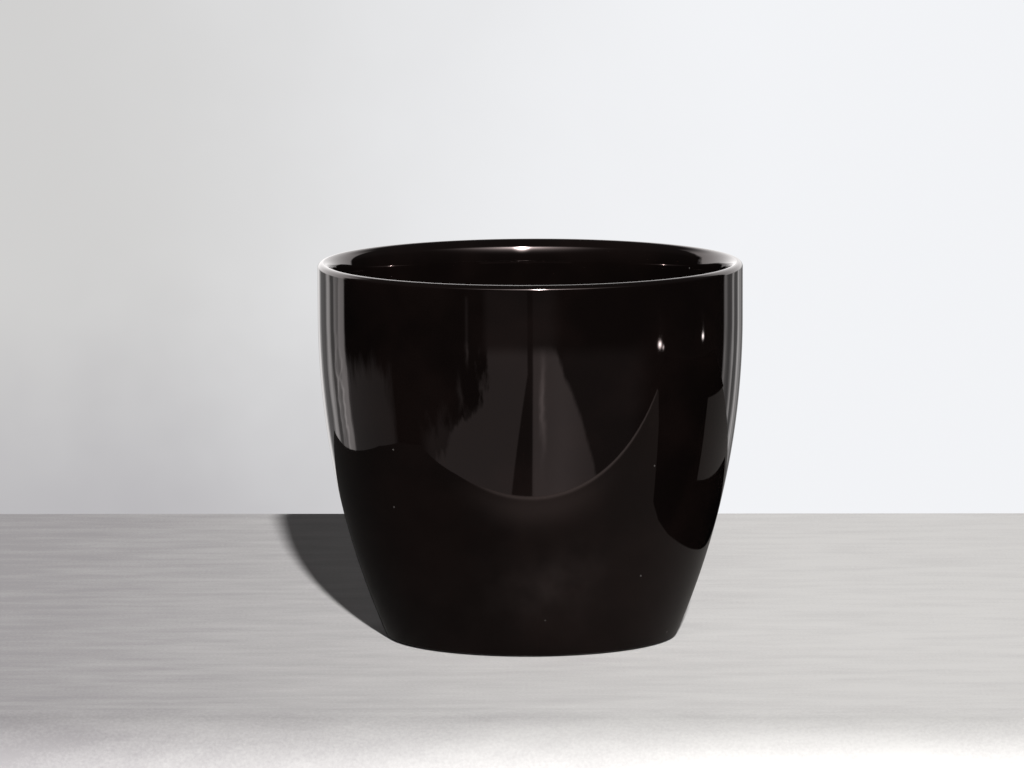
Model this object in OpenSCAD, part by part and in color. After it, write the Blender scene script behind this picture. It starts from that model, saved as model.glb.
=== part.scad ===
// Black clay pot with a straight collar, a rounded lip and a turned foot.
// It is coil built: a floor slab on a foot ring, four wall courses and a rim coil, under a glossy
// outer coat and a glossy inner coat that meet on top of the lip.
// Sizes are in millimetres. The origin is the centre of the resting face, and +Z is up.

/* [Body] */
// Outside diameter of the straight collar, the widest part of the pot
body_d = 150; // [125:1:165]
// Height from the resting face to the top of the lip
body_h = 133; // [118:1:155]
// Height of the straight collar, from the top of the wall's curve to the top of the lip
collar_h = 19; // [12:1:28]
// Diameter that the wall's curve comes down to at the resting face
base_d = 102.5; // [94:0.5:120]

/* [Clay] */
// Thickness of the clay wall, without its coats
clay_t = 5; // [4.6:0.1:6]
// Thickness of the floor slab
slab_t = 5; // [3:0.1:8]
// Radius of the inside corner between the floor and the wall
corner_r = 10; // [4:0.5:16]

/* [Lip] */
// Radius of the lip's outer edge
lip_out_r = 1.8; // [1.2:0.1:3]
// Width of the quarter ellipse that the lip's inner side starts on
lip_roll_w = 3.4; // [3:0.1:3.6]
// Height of that quarter ellipse
lip_roll_h = 4.4; // [3.4:0.1:5]
// Slope, from the upright, at which that ellipse runs into a long taper
lip_taper_a = 14; // [12:1:18]

/* [Foot] */
// Height of the foot ring, which is also the depth of the recess inside it
foot_h = 3; // [2.4:0.1:6]
// Width of the flat ring that the pot rests on
foot_w = 6.5; // [4:0.5:16]
// Radius of the foot's outer edge
foot_out_r = 2.5; // [1.5:0.1:2.5]
// Radius of the foot's inner edge
foot_in_r = 1.2; // [0.4:0.1:2]

/* [Coats] */
// Thickness of the glossy coats
coat_t = 0.45; // [0.4:0.05:0.8]
// Angle below the horizontal, on the foot's outer edge, at which the outer coat stops
coat_stop_a = 38; // [33:1:44]

/* [Hidden] */

// Colours of the fired clay and of the coats
clay_tint = [0.17, 0.16, 0.15];
coat_tint = [0.05, 0.04, 0.04];

// Smoothness of the revolved faces, and the number of flats in each drawn arc
round_fn = 180;
arc_flats = 8;

// The wall's curve is one arc, upright where it meets the collar and base_d wide at the table
body_r = body_d / 2;
collar_z = body_h - collar_h;
wall_in = (body_d - base_d) / 2;
arc_r = (pow(wall_in, 2) + pow(collar_z, 2)) / (2 * wall_in);
arc_centre = body_r - arc_r;

// Depths below the outer surface of the clay's two faces and of the finished inside
clay_out = coat_t;
clay_in = coat_t + clay_t;
wall_t = clay_in + coat_t;

// The wall above the slab is four equal courses, each drawn in short steps.
// Each course laps the one below: its joint rises one step from the outside to the inside.
slab_top = foot_h + slab_t;
course_h = (collar_z - slab_top) / 4;
course_steps = 10;
step_h = course_h / course_steps;
lap_h = step_h;

// The foot's outer edge is an arc tangent to the clay's outer face and to the table
foot_edge_x = wall_r(foot_out_r, clay_out + foot_out_r);
foot_edge_a = -asin((collar_z - foot_out_r) / (arc_r - clay_out - foot_out_r));
foot_hole_r = foot_edge_x - foot_w - foot_in_r;

// The inside corner is an arc tangent to the slab's top and to the clay's inner face
corner_z = slab_top + corner_r;
corner_x = wall_r(corner_z, clay_in + corner_r);
corner_a = -asin((collar_z - corner_z) / (arc_r - clay_in - corner_r));
corner_top = corner_z + (corner_r - coat_t) * sin(corner_a);

// The lip is round outside. Inside it is part of an ellipse, then a long arc that eases its slope
// into the upright inside wall. Both sides meet at its crest.
crest_x = body_r - lip_out_r;
lip_in_w = wall_t - lip_out_r;
roll_a = atan(tan(lip_taper_a) * lip_roll_h / lip_roll_w);
taper_h = (lip_in_w - lip_roll_w * cos(roll_a)) / tan(lip_taper_a / 2);
taper_r = taper_h / sin(lip_taper_a);
lip_in_h = lip_roll_h * (1 - sin(roll_a)) + taper_h;

// Radius at height z of the surface that lies inset below the outside of the pot
function wall_r(z, inset) =
    z >= collar_z
        ? body_r - inset
        : arc_centre + sqrt(pow(arc_r - inset, 2) - pow(collar_z - z, 2));

// Points of that surface at the given heights
function wall_points(heights, inset) = [for (z = heights) [wall_r(z, inset), z]];

// Heights from step number first to step number last above the slab
function steps(first, last) = [for (i = [first : last]) slab_top + i * step_h];

// Points of an arc or a quarter ellipse about [x, z]
function arc_points(x, z, rx, rz, from, to) =
    [for (i = [0 : arc_flats])
        let (a = from + (to - from) * i / arc_flats)
        [x + rx * cos(a), z + rz * sin(a)]];

function reversed(points) = [for (i = [len(points) - 1 : -1 : 0]) points[i]];
function without_last(points) = [for (i = [0 : len(points) - 2]) points[i]];

// The foot's outer edge between two angles, raised by the thickness over it
function foot_edge(from, to, over) =
    arc_points(foot_edge_x, foot_out_r, foot_out_r + over, foot_out_r + over, from, to);

// The inside corner, from the floor up to the wall, raised by the thickness over it
function corner(over) =
    arc_points(corner_x, corner_z, corner_r - over, corner_r - over, -90, corner_a);

// The lip's two sides, each down from the crest, at the given depth below the finished surface
function lip_outside(depth) =
    arc_points(crest_x, body_h - lip_out_r, lip_out_r - depth, lip_out_r - depth, 90, 0);
function lip_inside(depth) = concat(
    without_last(arc_points(crest_x, body_h - lip_roll_h, lip_roll_w - depth,
        lip_roll_h - depth, 90, 180 - roll_a)),
    arc_points(body_r - wall_t + taper_r, body_h - lip_in_h, taper_r - depth, taper_r - depth,
        180 - lip_taper_a, 180));

// First step clear above the inside corner, and the step at the foot of the collar
inside_first = ceil((corner_top - slab_top) / step_h + 0.01);
collar_step = 4 * course_steps;

module turned(outline) {
    rotate_extrude($fn = round_fn) polygon(outline);
}

// One wall course, numbered from 1, between its lower and its upper lapped joint
module wall_course(number) {
    low = (number - 1) * course_steps;
    high = number * course_steps;
    outside = wall_points(steps(low, high), clay_out);
    inside = wall_points(steps(low + 1, high + 1), clay_in);
    turned(concat(outside, reversed(inside)));
}

// Low turned ring that the pot rests on
module foot_ring() {
    color(clay_tint)
        turned(concat(
            without_last(foot_edge(-90, -coat_stop_a, 0)),
            foot_edge(-coat_stop_a, foot_edge_a, 0),
            [[wall_r(foot_h, clay_out), foot_h], [foot_hole_r, foot_h]],
            arc_points(foot_hole_r + foot_in_r, foot_in_r, foot_in_r, foot_in_r, 180, 270)));
}

// Flat disc that the wall stands on
module floor_slab() {
    color(clay_tint)
        turned([
            [0, foot_h],
            [wall_r(foot_h, clay_out), foot_h],
            [wall_r(slab_top, clay_out), slab_top],
            [0, slab_top]]);
}

// First course, with the thick inside corner that is pressed down on to the slab
module wall_coil_1() {
    outside = wall_points(steps(0, course_steps), clay_out);
    inside = wall_points(steps(inside_first, course_steps + 1), clay_in);
    color(clay_tint)
        turned(concat(outside, reversed(inside), reversed(corner(0))));
}

module wall_coil_2() {
    color(clay_tint) wall_course(2);
}

module wall_coil_3() {
    color(clay_tint) wall_course(3);
}

module wall_coil_4() {
    color(clay_tint) wall_course(4);
}

// Last coil: the straight collar and the lip
module rim_coil() {
    color(clay_tint)
        turned(concat(
            [[body_r - clay_out, collar_z]],
            without_last(reversed(lip_outside(coat_t))),
            lip_inside(coat_t),
            [[body_r - clay_in, collar_z + lap_h]]));
}

// Coat over the inside floor, the corner, the inside wall and the inner side of the lip
module inner_glaze() {
    heights = steps(inside_first, collar_step + 1);
    color(coat_tint)
        turned(concat(
            [[0, slab_top]],
            corner(0),
            wall_points(heights, clay_in),
            reversed(lip_inside(coat_t)),
            lip_inside(0),
            reversed(wall_points(heights, wall_t)),
            reversed(corner(coat_t)),
            [[0, slab_top + coat_t]]));
}

// Coat over the outside, from the crest of the lip down to its line on the foot's edge
module outer_glaze() {
    heights = concat([foot_h], steps(0, collar_step));
    color(coat_tint)
        turned(concat(
            foot_edge(-coat_stop_a, foot_edge_a, coat_t),
            wall_points(heights, 0),
            reversed(lip_outside(0)),
            lip_outside(coat_t),
            reversed(wall_points(heights, clay_out)),
            reversed(foot_edge(-coat_stop_a, foot_edge_a, 0))));
}

foot_ring();
floor_slab();
wall_coil_1();
wall_coil_2();
wall_coil_3();
wall_coil_4();
rim_coil();
inner_glaze();
outer_glaze();
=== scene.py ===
import math

import bpy
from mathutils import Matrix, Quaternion, Vector


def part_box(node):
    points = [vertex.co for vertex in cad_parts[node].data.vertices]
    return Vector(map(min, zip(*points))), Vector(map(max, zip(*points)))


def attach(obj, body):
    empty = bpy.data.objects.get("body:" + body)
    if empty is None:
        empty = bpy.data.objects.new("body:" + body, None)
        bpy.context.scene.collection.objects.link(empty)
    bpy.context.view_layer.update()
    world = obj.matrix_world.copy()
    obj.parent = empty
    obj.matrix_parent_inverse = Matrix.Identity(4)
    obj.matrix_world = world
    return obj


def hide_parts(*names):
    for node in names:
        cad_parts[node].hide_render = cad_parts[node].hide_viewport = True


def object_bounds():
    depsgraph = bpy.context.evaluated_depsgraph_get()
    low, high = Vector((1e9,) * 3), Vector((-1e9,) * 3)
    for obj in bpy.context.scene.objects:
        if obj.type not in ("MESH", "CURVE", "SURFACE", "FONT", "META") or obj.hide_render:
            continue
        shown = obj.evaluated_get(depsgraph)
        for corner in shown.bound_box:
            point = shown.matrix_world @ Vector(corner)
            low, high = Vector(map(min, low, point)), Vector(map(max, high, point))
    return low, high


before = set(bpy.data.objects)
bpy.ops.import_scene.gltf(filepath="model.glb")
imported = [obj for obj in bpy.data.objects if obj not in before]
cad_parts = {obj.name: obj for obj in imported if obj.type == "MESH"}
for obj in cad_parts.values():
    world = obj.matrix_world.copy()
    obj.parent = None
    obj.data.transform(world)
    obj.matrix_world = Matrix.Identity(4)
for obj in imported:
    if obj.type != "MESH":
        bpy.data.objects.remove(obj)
cadLow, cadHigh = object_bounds()
print("frame loaded:", ", ".join(sorted(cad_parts)))


# The pot's measures, read from the frame

def nodePoints(node):
    # radius and height of every corner of a CAD node
    return [(math.hypot(v.co.x, v.co.y), v.co.z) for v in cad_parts[node].data.vertices]


def radiiAt(node, height):
    return [r for r, z in nodePoints(node) if abs(z - height) < 1e-5]


bodyRadius = cadHigh.x
potHeight = cadHigh.z
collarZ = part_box("rim_coil")[0].z
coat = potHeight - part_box("rim_coil")[1].z      # thickness of a glaze coat
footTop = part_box("floor_slab")[0].z
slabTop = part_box("floor_slab")[1].z
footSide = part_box("foot_ring")[1].x              # clay radius at the top of the foot
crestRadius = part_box("inner_glaze")[1].x
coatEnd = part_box("outer_glaze")[0].z
clayIn = bodyRadius - min(r for r, z in nodePoints("rim_coil"))
wallThick = clayIn + coat
cornerX = min(radiiAt("wall_coil_1", slabTop))   # where the flat floor ends
restOut = max(radiiAt("foot_ring", 0))
restIn = min(radiiAt("foot_ring", 0))
holeRadius = min(r for r, z in nodePoints("foot_ring"))

potForm = {
    "footRound": 0.0025,     # outer edge of the foot
    "cornerRound": 0.010,    # inside corner, under the coat
    "rollWide": 0.0034,      # the ellipse that the lip's inner side starts on
    "rollHigh": 0.0044,
    "taper": 14.0,           # its slope where it runs into the long taper, in degrees
}

# one arc from the collar to the foot, as a circle through the clay's two known radii
wallIn = bodyRadius - coat - footSide
wallDrop = collarZ - footTop
wallArc = (wallIn ** 2 + wallDrop ** 2) / (2 * wallIn) + coat
lipRound = bodyRadius - crestRadius
lipWidth = wallThick - lipRound


def wallRadius(z, inset):
    # radius of the surface that lies inset below the outside, at height z
    if z >= collarZ:
        return bodyRadius - inset
    return bodyRadius - wallArc + math.sqrt((wallArc - inset) ** 2 - (collarZ - z) ** 2)


def wallLine(start, stop, inset, flats):
    heights = [start + (stop - start) * i / flats for i in range(flats + 1)]
    return [(wallRadius(z, inset), z) for z in heights]


def arcLine(x, z, across, up, start, stop, flats):
    # points on an arc or quarter ellipse about (x, z), between two angles in degrees
    angles = [math.radians(start + (stop - start) * i / flats) for i in range(flats + 1)]
    return [(x + across * math.cos(a), z + up * math.sin(a)) for a in angles]


def tangentAngle(centreZ, inset):
    # where an arc about a centre at that height and depth runs into the wall, in degrees
    return -math.degrees(math.asin((collarZ - centreZ) / (wallArc - inset)))


# the lip's inner side: part of an ellipse, then a long arc down to the upright inside wall
rollAngle = math.degrees(math.atan(
    math.tan(math.radians(potForm["taper"])) * potForm["rollHigh"] / potForm["rollWide"]))
rollAcross = potForm["rollWide"] * math.cos(math.radians(rollAngle))
taperHigh = (lipWidth - rollAcross) / math.tan(math.radians(potForm["taper"] / 2))
taperRound = taperHigh / math.sin(math.radians(potForm["taper"]))
lipFoot = potHeight - potForm["rollHigh"] * (1 - math.sin(math.radians(rollAngle))) - taperHigh


def lipInside(depth, rollFlats, taperFlats):
    # from the crest down to the inside wall, at a depth below the finished surface
    wide, high = potForm["rollWide"] - depth, potForm["rollHigh"] - depth
    across = taperRound - depth
    roll = arcLine(crestRadius, potHeight - potForm["rollHigh"], wide, high, 90,
                   180 - rollAngle, rollFlats)
    return roll[:-1] + arcLine(bodyRadius - wallThick + taperRound, lipFoot, across, across,
                               180 - potForm["taper"], 180, taperFlats)


footAngle = tangentAngle(potForm["footRound"], coat + potForm["footRound"])
cornerZ = slabTop + potForm["cornerRound"]
cornerAngle = tangentAngle(cornerZ, clayIn + potForm["cornerRound"])


# Modelling helpers

def turn(name, outline, sides):
    # draws the outline by extruding one corner along it, then spins it round the axis
    bpy.ops.object.select_all(action="DESELECT")
    bpy.ops.mesh.primitive_plane_add(size=0.001, location=(outline[0][0], 0, outline[0][1]))
    piece = bpy.context.object
    piece.name = name
    piece.data.name = name
    bpy.ops.object.transform_apply(location=True, rotation=True, scale=True)
    bpy.ops.object.mode_set(mode="EDIT")
    bpy.ops.mesh.select_mode(type="VERT")
    bpy.ops.mesh.select_all(action="SELECT")
    bpy.ops.mesh.merge(type="CENTER")
    for (x0, z0), (x1, z1) in zip(outline, outline[1:]):
        bpy.ops.mesh.extrude_region_move(TRANSFORM_OT_translate={"value": (x1 - x0, 0, z1 - z0)})
    bpy.ops.mesh.select_all(action="SELECT")
    bpy.ops.mesh.spin(steps=sides, angle=2 * math.pi, center=(0, 0, 0), axis=(0, 0, 1))
    bpy.ops.mesh.select_all(action="SELECT")
    bpy.ops.mesh.remove_doubles(threshold=2e-6)
    bpy.ops.mesh.normals_make_consistent(inside=False)
    bpy.ops.object.mode_set(mode="OBJECT")
    return piece


def fadeGroup(piece, weightAt):
    # a vertex group whose weight is worked out from each corner's radius and height
    group = piece.vertex_groups.new(name="fade")
    for v in piece.data.vertices:
        group.add([v.index], weightAt(math.hypot(v.co.x, v.co.y), v.co.z), "REPLACE")
    return group


def unevenBy(piece, depth, size, weightAt):
    # hand-smoothed unevenness: soft waves along the normals
    waves = bpy.data.textures.new(piece.name + "Waves", "CLOUDS")
    waves.noise_scale = size
    waves.noise_depth = 1
    push = piece.modifiers.new("waves", "DISPLACE")
    push.texture = waves
    push.texture_coords = "LOCAL"
    push.strength = depth
    push.mid_level = 0.5
    push.vertex_group = fadeGroup(piece, weightAt).name
    bpy.context.view_layer.objects.active = piece
    bpy.ops.object.modifier_apply(modifier=push.name)
    piece.vertex_groups.clear()


def finishPiece(piece, material, slot, *nodes):
    bpy.ops.object.select_all(action="DESELECT")
    piece.select_set(True)
    bpy.context.view_layer.objects.active = piece
    bpy.ops.object.shade_smooth_by_angle(angle=math.radians(32))
    piece.data.materials.clear()
    piece.data.materials.append(material)
    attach(piece, "root")
    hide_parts(*nodes)
    print(piece.name, "has", len(piece.data.polygons), "faces")


def smoothRise(value, low, high):
    t = min(1, max(0, (value - low) / (high - low)))
    return t * t * (3 - 2 * t)


# Shader maths: a socket with arithmetic

class Wire:
    def __init__(self, tree, socket=None):
        self.tree = tree
        self.socket = socket

    def add(self, kind, settings=None, inputs=None, out=0):
        node = self.tree.nodes.new(kind)
        settings = dict(settings or {})
        stops = settings.pop("stops", None)
        for name, value in settings.items():
            setattr(node, name, value)
        if stops:
            ramp = node.color_ramp.elements
            while len(ramp) < len(stops):
                ramp.new(0.5)
            for element, (place, colour) in zip(ramp, stops):
                element.position = place
                element.color = (*colour, 1)
        for name, value in (inputs or {}).items():
            if isinstance(value, Wire):
                self.tree.links.new(value.socket, node.inputs[name])
            else:
                node.inputs[name].default_value = value
        return Wire(self.tree, None if out is None else node.outputs[out])

    def pick(self, name):
        return Wire(self.tree, self.socket.node.outputs[name])

    def math(self, operation, first, second=0.0):
        return self.add("ShaderNodeMath", {"operation": operation}, {0: first, 1: second})

    def apply(self, operation):
        return self.math(operation, self)

    def __add__(self, other):
        return self.math("ADD", self, other)

    def __radd__(self, other):
        return self.math("ADD", other, self)

    def __sub__(self, other):
        return self.math("SUBTRACT", self, other)

    def __rsub__(self, other):
        return self.math("SUBTRACT", other, self)

    def __mul__(self, other):
        return self.math("MULTIPLY", self, other)

    def __rmul__(self, other):
        return self.math("MULTIPLY", other, self)

    def __abs__(self):
        return self.apply("ABSOLUTE")

    def rise(self, low, high):
        # 0 below low, 1 above high, smooth between; low may be the larger
        limits = {"Value": self, "From Min": low, "From Max": high}
        return self.add("ShaderNodeMapRange", {"interpolation_type": "SMOOTHSTEP"}, limits)

    def blend(self, first, second):
        # a colour between two, by this socket
        return self.add("ShaderNodeMix", {"data_type": "RGBA"}, {0: self, 6: first, 7: second}, 2)

    def noise(self, place, scale, detail=2.0, rough=0.5):
        inputs = {"Vector": place, "Scale": scale, "Detail": detail, "Roughness": rough}
        return self.add("ShaderNodeTexNoise", None, inputs)

    def bands(self, place, detail):
        # noise along one number
        inputs = {"W": place, "Scale": 1.0, "Detail": detail}
        return self.add("ShaderNodeTexNoise", {"noise_dimensions": "1D"}, inputs)

    def cells(self, place, scale, size, share):
        # small round spots, in some of the cells of a Voronoi pattern
        dots = self.add("ShaderNodeTexVoronoi", None, {"Vector": place, "Scale": scale})
        draw = self.add("ShaderNodeSeparateColor", None, {0: dots.pick("Color")})
        return dots.rise(*size) * draw.rise(*share)

    def spot(self, across, up, x, y, wide, high):
        # a soft spot about (x, y)
        dx = (across - x) * (1 / wide)
        dy = (up - y) * (1 / high)
        return (0 - dx * dx - dy * dy).apply("EXPONENT")


def newMaterial(name):
    material = bpy.data.materials.new(name)
    material.use_nodes = True
    material.node_tree.nodes.clear()
    return material, Wire(material.node_tree)


def closeMaterial(wire, inputs):
    shader = wire.add("ShaderNodeBsdfPrincipled", None, inputs)
    wire.add("ShaderNodeOutputMaterial", None, {"Surface": shader}, None)


def colour(r, g, b):
    return (r, g, b, 1.0)


# Black glaze: a glassy coat over black clay, a little uneven, with a few dust specks

glazeLook = {
    "deep": colour(0.0018, 0.0012, 0.0011),
    "thin": colour(0.0032, 0.0020, 0.0018),
    "dust": colour(0.05, 0.047, 0.045),
    "tint": colour(1.0, 0.83, 0.81),
    "cloudScale": 28.0,
    "dustScale": 210.0,
    "dustSize": (0.085, 0.05),
    "dustShare": (0.955, 0.97),
    "gloss": 0.022,
    "glossSpread": 0.014,
    "dustGloss": 0.5,
    "ior": 1.48,
    "peelScale": 340.0,
    "peelFine": 420.0,
    "peel": 0.0000012,
}


def makeGlaze(s):
    material, wire = newMaterial("blackGlaze")
    place = wire.add("ShaderNodeTexCoord", out="Object")
    cloud = wire.noise(place, s["cloudScale"], 3.0, 0.55)
    dust = wire.cells(place, s["dustScale"], s["dustSize"], s["dustShare"])
    body = cloud.rise(0.38, 0.68).blend(s["deep"], s["thin"])
    base = dust.blend(body, s["dust"])
    rough = s["gloss"] + cloud.rise(0.45, 0.75) * s["glossSpread"] + dust * s["dustGloss"]
    peel = wire.noise(place, s["peelScale"], 1.0, 0.4) + wire.noise(place, s["peelFine"]) * 0.3
    bump = wire.add("ShaderNodeBump", None, {
        "Strength": 1.0, "Distance": s["peel"], "Height": peel})
    closeMaterial(wire, {
        "Base Color": base, "Roughness": rough, "IOR": s["ior"],
        "Specular Tint": s["tint"], "Normal": bump})
    return material


# Fired clay: dry, dark grey, with fine grit and the marks of turning

clayLook = {
    "dark": colour(0.016, 0.0145, 0.0135),
    "pale": colour(0.052, 0.048, 0.044),
    "grit": colour(0.13, 0.12, 0.11),
    "cloudScale": 55.0,
    "grainScale": 900.0,
    "gritScale": 520.0,
    "gritSize": (0.22, 0.12),
    "gritShare": (0.86, 0.9),
    "relief": 0.00006,
    "rough": 0.72,
    "roughSpread": 0.2,
    "ior": 1.45,
    "ringPitch": 0.0011,     # between the fine lines of turning
    "ringRelief": 0.22,
    "ringWander": 0.0007,
}


def makeClay(name, turned, s):
    material, wire = newMaterial(name)
    place = wire.add("ShaderNodeTexCoord", out="Object")
    cloud = wire.noise(place, s["cloudScale"], 5.0, 0.6)
    grain = wire.noise(place, s["grainScale"], 3.0, 0.6)
    grit = wire.cells(place, s["gritScale"], s["gritSize"], s["gritShare"])
    body = (cloud * 0.7 + grain * 0.3).rise(0.35, 0.66).blend(s["dark"], s["pale"])
    height = grain * 0.6 + grit * 0.5 + cloud * 0.6
    if turned:
        x = wire.add("ShaderNodeSeparateXYZ", None, {0: place}, "X")
        y, z = x.pick("Y"), x.pick("Z")
        radius = (x * x + y * y).apply("SQRT")
        turns = (radius + cloud * s["ringWander"] + z * 0.4) * (2 * math.pi / s["ringPitch"])
        height = height + turns.apply("SINE") * s["ringRelief"]
    bump = wire.add("ShaderNodeBump", None, {
        "Strength": 1.0, "Distance": s["relief"], "Height": height})
    rough = s["rough"] + cloud.rise(0.3, 0.7) * s["roughSpread"]
    closeMaterial(wire, {"Base Color": grit.blend(body, s["grit"]), "Roughness": rough,
                         "IOR": s["ior"], "Normal": bump})
    return material


blackGlaze = makeGlaze(glazeLook)
turnedClay = makeClay("turnedClay", True, clayLook)
coilClay = makeClay("coilClay", False, clayLook)
print("finishes made")


# Outer coat: from the crest of the lip down to its rolled edge on the foot, and back up the clay

outerCoat = {
    "sides": 288,
    "lipFlats": 16,
    "wallFlats": 76,
    "footFlats": 8,
    "backFlats": 24,
    "crestFlat": 0.00012,    # level strip where the two coats meet
    "waves": 0.00006,
    "waveSize": 0.045,
    "waveTop": (0.003, 0.020),       # the waves set in below the crest, and above the table
    "waveLow": (0.0, 0.010),
}


def makeOuterCoat(s):
    edge = potForm["footRound"]
    half = coat / 2
    stop = -math.degrees(math.asin((edge - coatEnd) / (edge + coat)))
    stop += math.degrees(half / (edge + coat))     # room for the rolled edge
    turnX = restOut + (edge + half) * math.cos(math.radians(stop))
    turnZ = edge + (edge + half) * math.sin(math.radians(stop))
    lipZ = potHeight - lipRound
    wallEnd = edge + (edge + coat) * math.sin(math.radians(footAngle))
    backEnd = edge + edge * math.sin(math.radians(footAngle))
    outline = [(crestRadius, potHeight - coat), (crestRadius, potHeight)]
    outline += [(crestRadius + s["crestFlat"], potHeight)]
    outline += arcLine(crestRadius, lipZ, lipRound, lipRound, 90, 0, s["lipFlats"])[1:]
    outline += wallLine(lipZ, collarZ, 0, 6)[1:]
    outline += wallLine(collarZ, wallEnd, 0, s["wallFlats"])[1:]
    outline += arcLine(restOut, edge, edge + coat, edge + coat, footAngle, stop, s["footFlats"])[1:]
    outline += arcLine(turnX, turnZ, half, half, stop, stop - 180, 6)[1:]
    outline += arcLine(restOut, edge, edge, edge, stop, footAngle, 3)[1:]
    outline += wallLine(backEnd, collarZ, coat, s["backFlats"])[1:]
    outline += wallLine(collarZ, lipZ, coat, 2)[1:]
    outline += arcLine(crestRadius, lipZ, lipRound - coat, lipRound - coat, 0, 90, 6)[1:]
    piece = turn("outerGlaze", outline, s["sides"])
    unevenBy(piece, s["waves"], s["waveSize"],
             lambda r, z: smoothRise(potHeight - z, *s["waveTop"]) * smoothRise(z, *s["waveLow"]))
    finishPiece(piece, blackGlaze, "black_coat", "outer_glaze")


# Inner coat: the floor, the corner where it pools, the wall with its faint rings, and the lip

innerCoat = {
    "sides": 288,
    "floorFlats": 22,
    "cornerFlats": 14,
    "wallFlats": 96,
    "backFlats": 24,
    "rings": 0.00005,        # depth of the rings that fingers leave on the wall
    "ringPitch": 0.0075,
    "floorRings": 0.00010,
    "waves": 0.00012,
    "waveSize": 0.040,
    "waveTop": (0.012, 0.030),
    "waveMiddle": (0.0, 0.030),
}


def makeInnerCoat(s):
    floorZ = slabTop + coat
    corner = potForm["cornerRound"]
    wallStart = cornerZ + (corner - coat) * math.sin(math.radians(cornerAngle))
    backStart = cornerZ + corner * math.sin(math.radians(cornerAngle))

    def rippled(point):
        # a wall point moved by the rings, which fade out towards the corner and the collar
        r, z = point
        fade = smoothRise(z - wallStart, 0.004, 0.016) * smoothRise(collarZ - z, 0, 0.02)
        return (r - s["rings"] * fade * math.cos(2 * math.pi * z / s["ringPitch"]), z)

    def floorPoint(i):
        r = cornerX * i / s["floorFlats"]
        fade = smoothRise(cornerX - r, 0.0, 0.01)
        ring = s["floorRings"] * fade * math.cos(2 * math.pi * r / s["ringPitch"])
        return (r, floorZ + ring - s["floorRings"])

    outline = [floorPoint(i) for i in range(s["floorFlats"] + 1)]
    outline[-1] = (cornerX, floorZ)
    outline += arcLine(cornerX, cornerZ, corner - coat, corner - coat, -90, cornerAngle,
                       s["cornerFlats"])[1:]
    outline += [rippled(p) for p in wallLine(wallStart, collarZ, wallThick, s["wallFlats"])[1:]]
    outline += wallLine(collarZ, lipFoot, wallThick, 4)[1:]
    outline += lipInside(0, 16, 12)[-2:0:-1]
    outline += [(crestRadius - outerCoat["crestFlat"], potHeight), (crestRadius, potHeight)]
    outline += lipInside(coat, 6, 4)
    outline += wallLine(lipFoot, collarZ, clayIn, 2)[1:]
    outline += wallLine(collarZ, backStart, clayIn, s["backFlats"])[1:]
    outline += arcLine(cornerX, cornerZ, corner, corner, cornerAngle, -90, 5)[1:]
    outline += [(0, slabTop)]
    piece = turn("innerGlaze", outline, s["sides"])
    unevenBy(piece, s["waves"], s["waveSize"],
             lambda r, z: smoothRise(potHeight - z, *s["waveTop"]) * smoothRise(r, *s["waveMiddle"]))
    finishPiece(piece, blackGlaze, "black_coat", "inner_glaze")


# Foot ring: bare clay, rounded outside and inside, with fine turned lines on the resting face

footRing = {
    "sides": 240,
    "edgeFlats": 10,
    "grooves": 5,
    "grooveDepth": 0.00010,
    "grooveWidth": 0.00035,
    "innerFillet": 0.0006,
}


def makeFootRing(s):
    edge = potForm["footRound"]
    inner = restIn - holeRadius
    wallEnd = edge + edge * math.sin(math.radians(footAngle))
    fillet = s["innerFillet"]
    outline = wallLine(footTop, wallEnd, coat, 3)
    outline += arcLine(restOut, edge, edge, edge, footAngle, -90, s["edgeFlats"])[1:]
    for i in range(s["grooves"]):
        middle = restOut + (restIn - restOut) * (i + 0.7) / (s["grooves"] + 0.4)
        outline += [(middle + s["grooveWidth"], 0), (middle, s["grooveDepth"]),
                    (middle - s["grooveWidth"], 0)]
    outline += arcLine(restIn, inner, inner, inner, 270, 180, s["edgeFlats"])
    outline += [(holeRadius, footTop - fillet)]
    outline += arcLine(holeRadius - fillet, footTop - fillet, fillet, fillet, 0, 90, 4)[1:]
    outline += [(holeRadius, footTop), outline[0]]
    piece = turn("footRing", outline, s["sides"])
    finishPiece(piece, turnedClay, "bare_clay", "foot_ring")


# Floor slab: its underside shows inside the foot, with the turning marks and a small centre knob

floorSlab = {
    "sides": 240,
    "steps": 96,             # points drawn across the underside
    "marks": 0.00012,
    "markPitch": 0.0034,
    "knobRadius": 0.0042,
    "knobHeight": 0.0006,
    "dish": 0.0004,          # the underside is turned a little hollow
}


def makeFloorSlab(s):
    def under(i):
        r = holeRadius * i / s["steps"]
        fade = smoothRise(r, s["knobRadius"], s["knobRadius"] * 1.6)
        fade *= smoothRise(holeRadius - r, 0, 0.002)
        mark = s["marks"] * fade * (0.5 - 0.5 * math.cos(2 * math.pi * r / s["markPitch"]))
        hollow = s["dish"] * fade * (1 - (r / holeRadius) ** 2)
        knob = s["knobHeight"] * (1 - smoothRise(r, s["knobRadius"] * 0.5, s["knobRadius"]))
        return (r, footTop + mark + hollow - knob)

    side = [(wallRadius(z, coat), z) for z in (footTop, (footTop + slabTop) / 2, slabTop)]
    outline = [under(i) for i in range(s["steps"] + 1)]
    outline += side + [(0, slabTop)]
    piece = turn("floorSlab", outline, s["sides"])
    finishPiece(piece, turnedClay, "bare_clay", "floor_slab")


makeOuterCoat(outerCoat)
makeInnerCoat(innerCoat)
makeFootRing(footRing)
makeFloorSlab(floorSlab)

for node in ("wall_coil_1", "wall_coil_2", "wall_coil_3", "wall_coil_4", "rim_coil"):
    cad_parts[node].data.materials.clear()
    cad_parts[node].data.materials.append(coilClay)
print("pot made")


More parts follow.
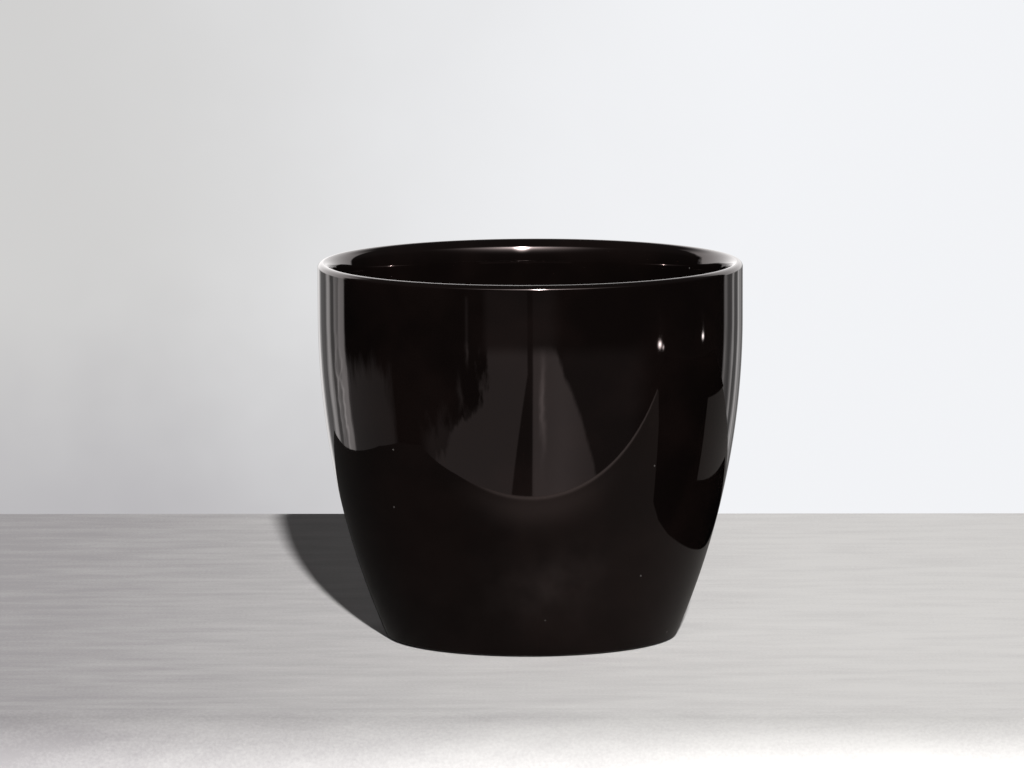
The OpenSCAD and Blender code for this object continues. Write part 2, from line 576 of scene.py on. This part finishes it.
# Stage: a pale table top with a rounded front edge, seen against a pale backdrop, with painted light
# and shade on the top.
# The gloss picks up painted reflections in the table's place: a darker card with painted pools of
# light, and a black card lying on it.

table = {
    "halfLength": 1.300,
    "front": -0.183,
    "back": 0.290,
    "thick": 0.045,
    "turn": -1.2,            # degrees about +Z
    "edgeRound": 0.030,
    "edgeFlats": 14,
    "dark": colour(0.325, 0.315, 0.325),
    "pale": colour(0.625, 0.62, 0.615),
    # painted light: the top's tone is paler towards the right, as the light falls
    "paintedLightFrom": (-0.24, 0.12),       # it pales from the left to the right
    "streakScale": (22, 90, 1),
    "streaks": 0.7,
    "speckleScale": 900.0,
    "speckle": 0.5,
    "relief": 0.0001,
}

# painted reflection: the table as the gloss sees it, dim and darker at the left, with painted pools
# of light
mirrorCard = {
    "outline": [
        (-0.262, 0.290), (-0.266, 0.163), (-0.274, -0.023), (-0.262, -0.090), (-0.225, -0.142),
        (-0.125, -0.163), (-0.050, -0.171), (0.640, -0.171), (0.640, 0.290)],
    "height": 0.0001,
    "left": colour(0.036, 0.035, 0.034),
    "right": colour(0.135, 0.130, 0.125),
    "lit": colour(0.90, 0.86, 0.84),
    "rightFrom": (-0.12, 0.12),
    "mottleScale": 45.0,
    # painted light: two pools of light, and a painted highlight line along the front edge
    "near": (0.018, -0.088, 0.038, 0.020),       # lit spots: place, then width and depth
    "front": (0.015, -0.156, 0.085, 0.018),
    "edge": (0.150, -0.1688, 0.275, 0.0024),
    "nearLevel": 0.22,
    "frontLevel": 0.32,
}

# painted dark reflection: a black card that only the gloss picks up, lying on the table at the right
darkReflectionCard = {
    "outline": [
        (0.095, 0.250), (0.100, 0.175), (0.108, 0.110), (0.117, 0.050), (0.128, -0.030),
        (0.136, -0.052), (0.152, -0.070), (0.300, -0.118), (0.420, -0.162), (0.440, -0.200),
        (0.660, -0.200), (0.660, 0.300), (0.420, 0.300), (0.420, 0.134), (0.350, 0.100),
        (0.210, 0.040), (0.208, 0.190), (0.205, 0.250)],
    "height": 0.0004,
}


def makePaleTable(s):
    material, wire = newMaterial("paleTable")
    place = wire.add("ShaderNodeTexCoord", out="Object")
    x = wire.add("ShaderNodeSeparateXYZ", None, {0: place}, "X")
    z = x.pick("Z")
    drawn = wire.add("ShaderNodeMapping", None, {"Vector": place, "Scale": s["streakScale"]})
    streaks = wire.noise(drawn, 1.0, 5.0, 0.62)
    speckle = wire.noise(place, s["speckleScale"], 3.0, 0.6)
    # painted light: lighter towards the right; the streaks and speckle are the top's own grain
    tone = x.rise(*s["paintedLightFrom"]) * 0.94 + (streaks - 0.5) * s["streaks"]
    tone = tone + (speckle - 0.5) * s["speckle"]
    # painted shade: the round front edge is painted darker as it leaves the top, then paler again
    # lower down, to tone down the key light that falls on it
    below = wire.math("MAXIMUM", z * (-1 / 0.0015), 0.0)
    below = wire.math("MINIMUM", below.apply("SQRT"), 1.0)
    edge = below * 0.36 - z.rise(-0.003, -0.018) * 0.22
    base = edge.blend(tone.blend(s["dark"], s["pale"]), colour(0, 0, 0))
    bump = wire.add("ShaderNodeBump", None, {
        "Distance": s["relief"], "Height": streaks + speckle})
    closeMaterial(wire, {"Base Color": base, "Roughness": 0.95, "IOR": 1.1, "Normal": bump})
    return material


def makeTable(s):
    bpy.ops.object.select_all(action="DESELECT")
    middle = (0, (s["front"] + s["back"]) / 2, -s["thick"] / 2)
    bpy.ops.mesh.primitive_cube_add(size=1, location=middle)
    top = bpy.context.object
    top.name = "tableTop"
    top.scale = (2 * s["halfLength"], s["back"] - s["front"], s["thick"])
    bpy.ops.object.transform_apply(location=True, rotation=True, scale=True)
    bpy.ops.object.mode_set(mode="EDIT")
    bpy.ops.mesh.select_mode(type="EDGE")
    bpy.ops.mesh.select_all(action="DESELECT")
    bpy.ops.object.mode_set(mode="OBJECT")
    for edge in top.data.edges:
        ends = [top.data.vertices[i].co for i in edge.vertices]
        edge.select = all(e.y < middle[1] and e.z > middle[2] for e in ends)
    bpy.ops.object.mode_set(mode="EDIT")
    bpy.ops.mesh.bevel(offset=s["edgeRound"], segments=s["edgeFlats"])
    bpy.ops.object.mode_set(mode="OBJECT")
    top.rotation_euler = (0, 0, math.radians(s["turn"]))
    bpy.ops.object.transform_apply(location=True, rotation=True, scale=True)
    bpy.ops.object.shade_smooth_by_angle(angle=math.radians(32))
    top.data.materials.append(makePaleTable(s))
    top.visible_glossy = False


def makeCard(name, s, material):
    # a flat card that only the gloss picks up: a painted reflection
    outline = s["outline"]
    bpy.ops.object.select_all(action="DESELECT")
    bpy.ops.mesh.primitive_plane_add(size=0.001, location=(*outline[0], s["height"]))
    card = bpy.context.object
    card.name = name
    bpy.ops.object.transform_apply(location=True, rotation=True, scale=True)
    bpy.ops.object.mode_set(mode="EDIT")
    bpy.ops.mesh.select_mode(type="VERT")
    bpy.ops.mesh.select_all(action="SELECT")
    bpy.ops.mesh.merge(type="CENTER")
    for (x0, y0), (x1, y1) in zip(outline, outline[1:] + outline[:1]):
        bpy.ops.mesh.extrude_region_move(TRANSFORM_OT_translate={"value": (x1 - x0, y1 - y0, 0)})
    bpy.ops.mesh.select_all(action="SELECT")
    bpy.ops.mesh.remove_doubles(threshold=1e-5)
    bpy.ops.mesh.edge_face_add()
    bpy.ops.mesh.select_all(action="SELECT")
    bpy.ops.mesh.normals_make_consistent(inside=False)
    bpy.ops.object.mode_set(mode="OBJECT")
    card.data.materials.append(material)
    card.visible_camera = False
    card.visible_diffuse = False
    card.visible_shadow = False


# painted reflection: dim table tone, darker at the left, with painted pools of light and a painted
# highlight along the front edge
def makeMirrorTone(s):
    material, wire = newMaterial("paintedReflectionTone")
    place = wire.add("ShaderNodeTexCoord", out="Object")
    x = wire.add("ShaderNodeSeparateXYZ", None, {0: place}, "X")
    y = x.pick("Y")
    mottle = wire.noise(place, s["mottleScale"], 4.0, 0.6) - 0.5
    base = (x + mottle * 0.10).rise(*s["rightFrom"]).blend(s["left"], s["right"])
    lit = wire.spot(x, y, *s["near"]) * (s["nearLevel"] + mottle * 0.6)
    lit = lit + wire.spot(x, y, *s["front"]) * s["frontLevel"] + wire.spot(x, y, *s["edge"])
    base = lit.blend(base, s["lit"])
    closeMaterial(wire, {"Base Color": base, "Roughness": 1.0, "IOR": 1.0})
    return material


# painted dark reflection: the black card's colour
def makeBlack():
    material, wire = newMaterial("darkReflectionTone")
    closeMaterial(wire, {"Base Color": colour(0.002, 0.002, 0.002), "Roughness": 1.0, "IOR": 1.0})
    return material


makeTable(table)
makeCard("mirrorCard", mirrorCard, makeMirrorTone(mirrorCard))
makeCard("darkReflectionCard", darkReflectionCard, makeBlack())

# Light: a low key a little to the right of the camera, and a surround that the gloss picks up

lightPlan = {
    "keyAzimuth": 5.0,
    "keyElevation": 25.0,
    "keyPower": 7.0,
    "keySpread": 1.6,
    "backdropLow": colour(0.46, 0.45, 0.47),
    "backdropLeft": colour(0.635, 0.63, 0.625),
    "backdropRight": colour(0.89, 0.90, 0.925),
    "glow": [(26, 5, 9), (11, 3.5, 16), (3.0, 4, 300)],      # width, height and strength
    "lamps": [(74.3, -8.15, 0.9, 0.34, 40), (76.6, -8.5, 0.5, 0.22, 12),
              (107.4, -7.6, 0.7, 0.24, 26)],     # azimuth, height, width, height and strength
    "sky": 0.05,
    "fill": 0.008,
    "dull": 0.5,             # share of the surround that lights all but the gloss
    "tint": (1.0, 0.975, 0.97),
}

# What the gloss sees round the stage, by azimuth and height in degrees. A tone is nought at the
# first of a pair of angles and full at the second.

wallLook = {
    "left": (-117, -123),
    "right": (129, 132),
    "rightLevel": 0.8,
    "top": (42, 24),
    "lifted": (-5, 3),       # above this the walls are bright and plain
    "liftedLevel": 1.8,
    "bandPitch": 0.075,
    "bandLow": 0.26,
    "bandHigh": 0.9,
    "stems": [(-127, -12.5, 1.2, 3.4, 16, 1.0), (-133, -11, 1.0, 3.0, -11, 0.8)],
    "stemLevel": 0.7,
}

groundLook = {
    "patchLeft": (-27, -57),         # the left side of the lit ground, high up and low down
    "patchLeftHeights": (-14, -24),
    "patchRight": 12,                # its right side, which leans out
    "patchLean": 1.55,
    "patchTop": (-7.4, -9.8),
    "patchLow": 0.36,
    "patchHigh": 0.26,
    "bright": (6.5, -16, 1.3, 6.0),
    "brightLevel": 0.9,
    "stripe": -0.2,                  # the dark upright stripe, which widens downwards
    "stripeHalf": 1.4,
    "stripeWidens": 0.27,
    "stripeLeans": 0.30,
    "above": 0.09,
    "twigs": [(-34.5, -8.6, 0.7, 1.6, 5, 0.35), (-40, -14.5, 1.0, 2.2, 9, 0.20)],
    "dim": 0.15,
    "side": 0.20,
    "far": 0.075,
}


def directionTo(azimuth, elevation):
    # azimuth 0 is towards -Y and grows towards +X, as the camera's views do
    a, e = math.radians(azimuth), math.radians(elevation)
    return Vector((math.sin(a) * math.cos(e), -math.cos(a) * math.cos(e), math.sin(e)))


def makeKey(s):
    sun = bpy.data.lights.new("key", "SUN")
    sun.energy = s["keyPower"]
    sun.angle = math.radians(s["keySpread"])
    sun.color = (1.0, 0.985, 0.97)
    key = bpy.data.objects.new("key", sun)
    bpy.context.scene.collection.objects.link(key)
    aim = directionTo(s["keyAzimuth"], s["keyElevation"])
    key.rotation_mode = "QUATERNION"
    key.rotation_quaternion = aim.to_track_quat("Z", "Y")
    key.location = aim


def makeWalls(wire, azimuth, height, wobble, s):
    # pale walls behind, to the left and to the right, in upright bands, with two thin stems
    bands = wire.bands((azimuth + wobble * 9) * s["bandPitch"], 1.0)
    lifted = height.rise(*s["lifted"])
    tone = s["bandLow"] + bands.rise(0.44, 0.60) * s["bandHigh"]
    tone = tone * (1 - lifted) + lifted * s["liftedLevel"]
    walls = (azimuth + wobble * 12).rise(*s["left"]) + azimuth.rise(*s["right"]) * s["rightLevel"]
    walls = walls * height.rise(*s["top"]) * tone
    sway = wire.bands(height * 0.45, 2.0) - 0.5
    for x, y, wide, high, bend, level in s["stems"]:
        stem = wire.spot(azimuth + sway * bend, height, x, y, wide, high)
        walls = walls + stem * (level * s["stemLevel"])
    return walls


def makeGround(wire, azimuth, height, wobble, s):
    # lit ground in front of the table, with a dark upright stripe through it
    high, low = s["patchLeft"]
    leftSide = height.rise(*s["patchLeftHeights"]) * (low - high) + high
    rightSide = (0 - height - 8) * s["patchLean"] + s["patchRight"]
    patch = (azimuth - leftSide + wobble * 30).rise(-2, 4)
    patch = patch * (rightSide - azimuth + wobble * 6).rise(-1.5, 1.5) * height.rise(*s["patchTop"])
    below = wire.math("MAXIMUM", 0 - height - 12, 0.0)
    stripe = abs(azimuth - s["stripe"] + below * s["stripeLeans"])
    beside = (stripe - below * s["stripeWidens"] - s["stripeHalf"]).rise(-0.5, 0.6)
    tone = s["patchLow"] + azimuth.rise(-2, 3) * azimuth.rise(40, 14) * s["patchHigh"]
    tone = tone + wire.spot(azimuth - wobble * 6, height, *s["bright"]) * s["brightLevel"]
    ground = patch * (0.12 + beside * 0.88) * tone
    # fainter ground above it, twigs and dim ground at its left, and more at either side
    above = azimuth.rise(-27, -22) * azimuth.rise(18, 8)
    above = above * height.rise(-10, -7.6) * height.rise(0, -4)
    ground = ground + above * (0.3 + beside * 0.7) * s["above"]
    for x, y, wide, tall, bend, level in s["twigs"]:
        ground = ground + wire.spot(azimuth + wobble * bend, height, x, y, wide, tall) * level
    dim = azimuth.rise(-68, -58) * azimuth.rise(-20, -30) * (height + wobble * 12).rise(-17, -21)
    side = azimuth.rise(-126, -121) * (azimuth + wobble * 14).rise(-80, -88)
    side = side * (height + wobble * 6).rise(-9, -12)
    far = azimuth.rise(8, 20) * azimuth.rise(72, 55) * height.rise(-7.3, -10)
    return ground + dim * (1 - patch) * s["dim"] + side * s["side"] + far * s["far"]


def makeBackdrop(wire, aim, x, y, z, s):
    # what the camera sees: pale at the right, greyer at the left and low down at the left
    cloud = (wire.noise(aim, 22.0, 4.0, 0.6) - 0.5) * 0.5
    sides = (x + cloud * 0.06).rise(-0.075, 0.03)
    low = (z + cloud * 0.05).rise(-0.115, -0.150) * x.rise(0.01, -0.06)
    low = low * x.rise(-0.25, -0.15) * y.rise(0.7, 0.9)
    return (low * 0.9).blend(sides.blend(s["backdropLeft"], s["backdropRight"]), s["backdropLow"])


def makeSurround(s):
    world = bpy.data.worlds.new("surround")
    bpy.context.scene.world = world
    world.use_nodes = True
    world.node_tree.nodes.clear()
    wire = Wire(world.node_tree)
    aim = wire.add("ShaderNodeTexCoord", out="Generated")
    x = wire.add("ShaderNodeSeparateXYZ", None, {0: aim}, "X")
    y, z = x.pick("Y"), x.pick("Z")
    azimuth = wire.math("ARCTAN2", x, 0 - y) * (180 / math.pi)
    height = z.apply("ARCSINE") * (180 / math.pi)
    wobble = wire.noise(aim, 9.0, 4.0, 0.6) - 0.5
    level = makeWalls(wire, azimuth, height, wobble, wallLook)
    level = level + makeGround(wire, azimuth, height, wobble, groundLook)
    level = level + height.rise(0, 30) * s["sky"] + s["fill"]

    # a glow round the key, and low lamps at the right, for the gloss alone
    mirrored = wire.add("ShaderNodeLightPath", out="Is Glossy Ray")
    level = level * (s["dull"] + mirrored * (1 - s["dull"]))
    lamps = [(s["keyAzimuth"], s["keyElevation"], *glow) for glow in s["glow"]] + s["lamps"]
    for *place, strength in lamps:
        level = level + wire.spot(azimuth, height, *place) * mirrored * strength
    tint = wire.add("ShaderNodeCombineColor", None, {
        channel: level * share for channel, share in enumerate(s["tint"])})
    shown = makeBackdrop(wire, aim, x, y, z, s)
    seen = wire.add("ShaderNodeLightPath", out="Is Camera Ray")
    light = wire.add("ShaderNodeBackground", None, {"Color": seen.blend(tint, shown)})
    wire.add("ShaderNodeOutputWorld", None, {"Surface": light}, None)


makeKey(lightPlan)
makeSurround(lightPlan)

# Camera: a long lens, a little above the rim, with the pot right of and below the middle

cameraPlan = {
    "distance": 2.604,
    "elevation": 7.93,
    "lens": 258.7,
    "potRight": 18.83,       # how far the pot's middle stands from the picture's, in 1/1024 widths
    "potDown": 64.04,
    "roll": -0.217,
}


def makeCamera(s):
    data = bpy.data.cameras.new("camera")
    data.lens = s["lens"]
    data.sensor_width = 36.0
    data.clip_start = 0.1
    data.clip_end = 50.0
    camera = bpy.data.objects.new("camera", data)
    bpy.context.scene.collection.objects.link(camera)
    middle = Vector((0, 0, (cadLow.z + cadHigh.z) / 2))
    away = directionTo(0, s["elevation"])
    camera.location = middle + away * s["distance"]
    step = data.sensor_width / data.lens / 1024      # tangent of one picture unit
    camera.rotation_mode = "QUATERNION"
    turned = away.to_track_quat("Z", "Y")
    turned = turned @ Quaternion((0, 0, 1), math.radians(s["roll"]))
    turned = turned @ Quaternion((0, 1, 0), math.atan(s["potRight"] * step))
    turned = turned @ Quaternion((1, 0, 0), math.atan(s["potDown"] * step))
    camera.rotation_quaternion = turned
    bpy.context.scene.camera = camera


makeCamera(cameraPlan)
bpy.context.scene.view_settings.view_transform = "Standard"
print("stage, light and camera set")
